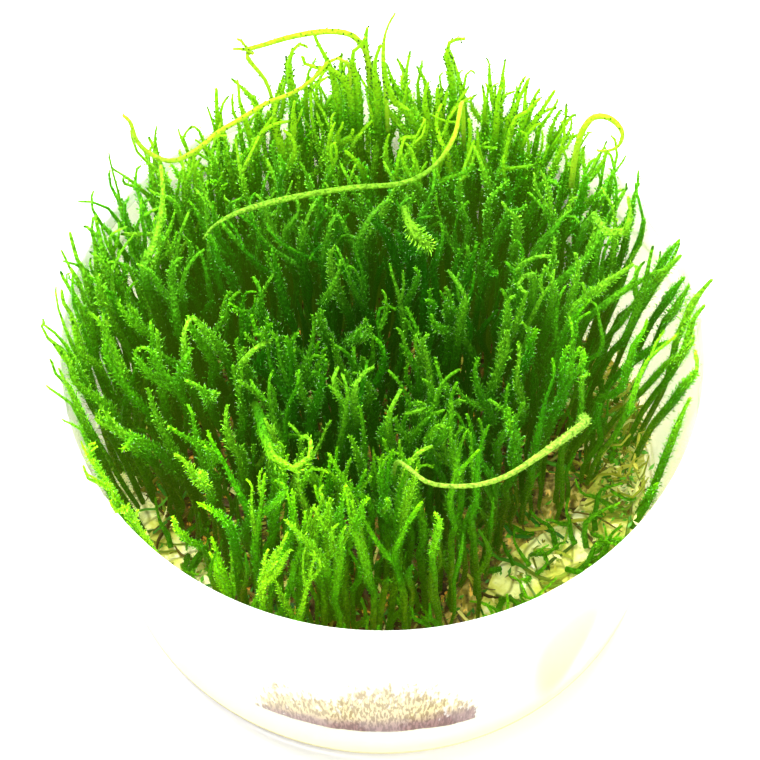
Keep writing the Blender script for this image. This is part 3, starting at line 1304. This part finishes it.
def growMoss():
    draw = np.random.default_rng(moss["seed"])
    noise.seed_set(moss["seed"])  # the drift of the shoots would change from run to run without it
    growths = {}

    def growthAt(x, y):
        name = sectorOf(x, y)
        return growths.setdefault(name, Growth(name))

    roots = rootPlaces(draw)
    for x, y in roots:
        growRooted(growthAt, x, y, draw)
    # each list of routes is drawn in full before its shoots grow
    for route in list(wallRoutes(draw)):
        fresh = float(np.clip(draw.beta(1.2, 2.5) + 0.15, 0, 1))
        girth, slim, neck = draw.uniform(0.6, 0.85), draw.uniform(0.0, 0.4), draw.uniform(0.7, 1.6)
        addShoot(growthAt(*route[0][:2]), route, draw, fresh, girth, slim, neck, stem=sideStem)
    for route in list(sprigRoutes(draw)):
        girth, shift = draw.uniform(0.6, 0.9), draw.uniform(0.05, 0.4)
        growth = growthAt(*route[0][:2])
        # a fresh value past 1 keeps them green low down
        addShoot(growth, route, draw, 1.2, girth, 0.1, 0.6, density=0.8, shift=shift, stem=sideStem)
    for name, (fresh, slim, *points) in singled.items():
        x, y, z = points[-1]
        if z > 20:  # down into the mat, a little nearer to the middle
            lower = 1 - 0.004 * (z - 17)
            points.append((x * lower, y * lower, 17.0))
        fresh *= 0.8 if y > 22 else 1.0
        girth, neck = 0.95 + 0.5 * slim, 0.5 if slim < 0.2 else 1.0
        addShoot(growthAt(x, y), points[::-1], draw, fresh, girth, slim, neck, form=formOf(name))
    low = growths["shoots_lower"] = Growth("shoots_lower")
    for route in list(lowerRoutes(draw)):
        girth, shift = draw.uniform(0.5, 0.8), draw.uniform(0.2, 0.6)
        addShoot(low, route, draw, 0.1, girth, 0.0, 0.5, density=0.26, shift=shift, stem=sideStem)
    for route in list(fillRoutes(draw)):
        fresh, girth = draw.beta(1.2, 3.0), draw.uniform(0.6, 0.9)
        growth, neck = growthAt(*route[0][:2]), draw.uniform(0.6, 1.5)
        addShoot(growth, route, draw, fresh, girth, 0.1, neck, density=0.8, stem=sideStem)
    material = mossGreen("mossGreen", greens)
    for growth in growths.values():
        growth.make(material, "moss_green", "green_shoots")
    print(len(roots), "rooted shoots")


def growStrays():
    draw = np.random.default_rng(moss["seed"] + 1)
    material = mossGreen("strayGreen", strayGreens, 0.35)
    for name, (fresh, slim, girth, *points) in strays.items():
        growth = Growth(name)
        own = {"density": 0.3, "stem": longStem, "clamp": False, "form": formOf(name)}
        addShoot(growth, points, draw, fresh, girth, slim, 0.7, **own)
        for tuft in tufts.get(name, ()):
            addShoot(growth, tuft, draw, 1.2, 1.0, 0.2, 0.6, stem=twigStem, clamp=False)
        growth.make(material, "stray_green", name + "_stem")


growMoss()
growStrays()


# gel and the old brown mat on it
ground = {
    "seed": 21,
    "gelTop": 11.0,
    "gelRise": 0.8,
    "creep": 6.0,
    "creepLobe": (20, 24),  # its middle and half width in degrees
    "bank": {"middle": 16, "stems": 34, "scraps": 900, "foot": 12.5},  # on the right, against the wall
    "matReach": 40.0,
    "matTop": 15.6,
    "matShare": 0.88,  # the mat draws back less than the shoots do
    "stems": 430,
    "scraps": 5200,
    "gel": (
        (0.3, (0.34, 0.37, 0.03)), (0.44, (0.62, 0.64, 0.10)),
        (0.56, (0.84, 0.87, 0.34)), (0.7, (0.94, 0.97, 0.62)),
    ),
    "warp": (0.004, 0.004, 0.004),  # how far the gel's plates are pushed out of line
    "crease": (0.13, 0.15, 0.006),
    "fleck": (0.22, 0.27, 0.012),
    "amber": (0.82, 0.58, 0.08),
    "mat": (
        (0.35, (0.020, 0.014, 0.003)), (0.5, (0.07, 0.045, 0.006)),
        (0.62, (0.18, 0.11, 0.012)), (0.74, (0.45, 0.29, 0.04)),
    ),
    "matGlint": (0.85, 0.42, 0.04),
    "matStraw": ((0.30, 0.27, 0.03), (0.74, 0.62, 0.16)),
    "old": (  # from brown to straw
        (0.0, (0.035, 0.020, 0.003)), (0.35, (0.12, 0.10, 0.008)), (0.6, (0.24, 0.27, 0.012)),
        (0.8, (0.56, 0.52, 0.06)), (1.0, (0.86, 0.84, 0.36)),
    ),
    "oldGreen": ((0.012, 0.10, 0.003), (0.10, 0.36, 0.01)),
}


def matEdge(x, y):
    return ground["matReach"] - ground["matShare"] * drawBack(x, y)


def groundHeight(x, y):
    inside = (matEdge(x, y) - math.hypot(x, y)) / 5.0
    share = min(max(inside, 0.0), 1.0)
    share = share * share * (3 - 2 * share)
    lumps = 1.3 * noise.noise(Vector((x, y, 0)) / 3.2) + 0.7 * noise.noise(Vector((x, y, 9)) / 1.3)
    return ground["gelTop"] + 0.35 + share * (ground["matTop"] - ground["gelTop"] - 0.6 + lumps)


def makeGel():
    low, top = 2.3, ground["gelTop"]
    edge, gap = top + ground["gelRise"], 0.3
    wall = innerWall(edge) - gap
    rings = [(0.6, top), *((r, top) for r in np.arange(2.0, 40.5, 1.1))]
    rings += [(wall - 1.5, top + 0.05), (wall - 0.8, top + 0.2), (wall - 0.3, edge - 0.35), (wall, edge)]
    rings += [(innerWall(7) - gap, 7), (innerWall(low + 0.6) - gap, low + 0.6), (innerWall(low) - 0.9, low)]
    piece = turnedPiece("agar_bed", rings, 150)
    for v in piece.data.vertices:
        x, y, z = v.co / mm
        radius = math.hypot(x, y)
        if z > top - 0.1 and radius > wall - 2.0:
            # on the right the gel creeps up the wall in a lobe
            lift = ground["creep"] * bump(math.degrees(math.atan2(y, x)), *ground["creepLobe"])
            lift *= min((radius - wall + 2.0) / 1.7, 1.0)
            grow = 1 + wallSlope * lift / radius
            v.co = Vector((x * grow, y * grow, z + lift)) * mm
        elif z > top - 0.1:
            ridge = abs(noise.noise(Vector((x, y * 1.3, 0)) / 5.5))
            fine = noise.noise(Vector((x, y, 5)) / 1.8)
            v.co.z += (0.425 * (1 - 2.4 * ridge) + 0.14 * fine - 0.2) * mm
    smooth(piece, 60)
    paint = Finish("agar", Roughness=0.18, IOR=1.34, Alpha=0.93, Specular_IOR_Level=0.6)
    place, height = paint.objectPlace(), paint.millimetres()[2]
    drift = {0: paint.noise(place, 120, 2, output="Color"), 1: ground["warp"], 2: place}
    warped = {"Vector": paint.node("VectorMath", drift, operation="MULTIPLY_ADD"), "Scale": 190.0}
    plates = paint.node("TexVoronoi", warped, "Distance", feature="DISTANCE_TO_EDGE")
    fine = paint.noise(place, 900, 3)
    colour = paint.ramp(paint.noise(place, 150, 5, 0.6), ground["gel"])
    for share, tone in (
        ((1.0 - paint.band(plates, 0.0, 0.09)) * 0.7, "crease"),
        (paint.band(fine, 0.55, 0.72) * 0.5, "fleck"),
        (paint.band(height, 12.6, 15.0) * 0.85, "amber"),  # where it creeps up the wall
    ):
        colour = paint.mix(share, colour, ground[tone])
    paint.paintWith(colour, 0.3)
    paint.bump(plates + fine * 0.3, 0.5, 0.0006)
    finishPiece(piece, paint.material, "straw_gel", "agar_gel")


def makeMat():
    # a lumpy sheet over the gel with a flat underside
    rings = [(0.7, 13.0), *((r, 13.0) for r in np.arange(2.0, 40.1, 1.0))]
    piece = turnedPiece("old_stem_mat", rings, 140)
    for v in piece.data.vertices:
        x, y, _ = v.co / mm
        radius = math.hypot(x, y)
        reach = matEdge(x, y) / ground["matReach"]
        x, y = x * reach, y * reach
        v.co = Vector((x, y, groundHeight(x, y) if radius < 39.9 else ground["gelTop"] + 0.1)) * mm
    smooth(piece, 60)
    paint = Finish("oldStemMat", Roughness=0.7, Specular_IOR_Level=0.3)
    place = paint.objectPlace()
    x, y, _ = paint.millimetres()
    clump, glint = paint.noise(place, 260, 5, 0.65), paint.noise(place, 700, 2)
    colour = paint.mix(paint.band(glint, 0.60, 0.68), paint.ramp(clump, ground["mat"]), ground["matGlint"])
    near = paint.band(x - y * 0.6, 18.0, 34.0) * paint.band(clump, 0.40, 0.58)  # straw beside the open gel
    straw = paint.mix(paint.band(glint, 0.45, 0.6), *ground["matStraw"])
    paint.paintWith(paint.mix(near * 0.8, colour, straw), 0.22)
    paint.bump(paint.noise(place, 1100, 4), 0.8, 0.0008)
    finishPiece(piece, paint.material, "old_stems", "brown_thatch")


def oldBits(name):
    # by the attribute: age runs brown to straw, fresh adds dark leaf green
    paint = Finish(name, Roughness=0.5, Specular_IOR_Level=0.35)
    kind, leafy, _, _ = paint.growth()
    green = paint.mix(kind, *ground["oldGreen"])
    paint.paintWith(paint.mix(leafy, paint.ramp(kind, ground["old"]), green), 0.25)
    return paint.material


def layStem(growth, route, thick, tint):
    run, even = smoothRoute(route)
    addStem(growth, run, even, lambda s: thick * min(0.4 + s / 3, 1.0), twigStem, lambda s: tint)


def layTangle(growth, draw):
    # old stems that lie criss-cross on the mat and the open gel
    steps, reach = 7, 40.2
    for _ in range(ground["stems"]):
        radius, angle, x, y = inDisc(draw, 40, 0.02)
        outside = radius > matEdge(x, y)
        around = angle + draw.normal(0, 0.7)
        length, thick = draw.uniform(6, 17), draw.uniform(0.14, 0.34)
        lift = draw.uniform(0.1, 0.9) * (0.4 if outside else 1.6)
        route = []
        for i in range(steps):
            fit = min(reach / math.hypot(x, y), 1.0)
            x, y = x * fit, y * fit
            hump = lift * math.sin(math.pi * i / (steps - 1))
            route.append((x, y, groundHeight(x, y) + thick * 0.6 + hump))
            around += draw.normal(0, 0.28)
            dx, dy = polar(length / steps, around)
            x, y = x + dx, y + dy
        if outside:
            kind = draw.uniform(0.15, 0.75)
        else:
            kind = draw.choice((draw.uniform(0, 0.5), draw.uniform(0.5, 1)), p=(0.75, 0.25))
        leafy = draw.uniform(0.2, 0.6) if outside else float(draw.uniform(0, 1) < 0.15)
        layStem(growth, route, thick, (kind, leafy, 0.0, draw.uniform(0, 1)))


def leanBank(growth, draw):
    # a bank of old stems leans against the wall at the right
    bank = ground["bank"]
    foot = bank["foot"]
    for _ in range(bank["stems"]):
        angle = math.radians(draw.normal(bank["middle"], 13))
        inner, outer, top = draw.uniform(32, 38), draw.uniform(41.2, 42.4), draw.uniform(15, 28)
        route = []
        for share in np.linspace(0, 1, 6):
            x, y = polar(inner + (outer - inner) * share, angle + draw.normal(0, 0.03))
            route.append((x, y, foot + (top - foot) * share**1.5 + draw.normal(0, 0.4)))
        thick = draw.uniform(0.16, 0.34)
        layStem(growth, route, thick, (draw.uniform(0.4, 0.95), draw.uniform(0.0, 0.4), 0.0, 0.5))


def scatterLeaves(growth, draw):
    # fallen leaves, first on the bank, then on the mat and in patches on the open gel
    places, bank = [], ground["bank"]
    for _ in range(bank["scraps"]):
        angle, radius = math.radians(draw.normal(bank["middle"], 14)), draw.uniform(35, 42)
        lift = (radius - 35) / 7
        places.append((*polar(radius, angle), bank["foot"] + draw.uniform(0.3, 1) * 11 * lift * lift))
    while len(places) < ground["scraps"]:
        radius, _, x, y = inDisc(draw, 40.6)
        patch = noise.noise(Vector((x, y, 3)) / 4.0)
        if radius > matEdge(x, y) and draw.uniform(0, 1) > 0.2 + patch:
            continue
        places.append((x, y, groundHeight(x, y) + draw.uniform(0.05, 0.5)))
    places = np.array(places)
    count = len(places)
    around, tilt, roll = draw.uniform(0, 6.28, count), draw.normal(8, 22, count), draw.normal(0, 50, count)
    level = np.stack([np.cos(around), np.sin(around), np.zeros(count)], axis=1)
    up, _ = spun(level, np.array([[0.0, 0.0, 1.0]]), np.radians(np.abs(tilt)))
    beside = np.cross((0, 0, 1), level)
    beside, face = spun(beside, np.cross(up, beside), np.radians(roll))
    size = draw.uniform(0.7, 1.9, count)
    beyond = np.hypot(places[:, 0], places[:, 1]) > np.array([matEdge(x, y) for x, y, _ in places])
    kind = np.where(beyond, draw.uniform(0.2, 1, count), draw.beta(1.2, 2.0, count))[:, None]
    leafy = (draw.uniform(0, 1, count) < np.where(beyond, 0.5, 0.3))[:, None]
    setLeaves(growth, places, beside, face, up, size, np.ones(count), (kind, leafy, 0, 1))


def growTangle():
    draw = np.random.default_rng(ground["seed"])
    tangle, scraps = Growth("old_stem_tangle"), Growth("fallen_leaves")
    layTangle(tangle, draw)
    leanBank(tangle, draw)
    scatterLeaves(scraps, draw)
    tangle.make(oldBits("oldStems"), "old_stems", "brown_thatch")
    scraps.make(oldBits("fallenLeaves"), "old_stems", "brown_thatch")


makeGel()
makeMat()
growTangle()
print("gel, mat and tangle made")
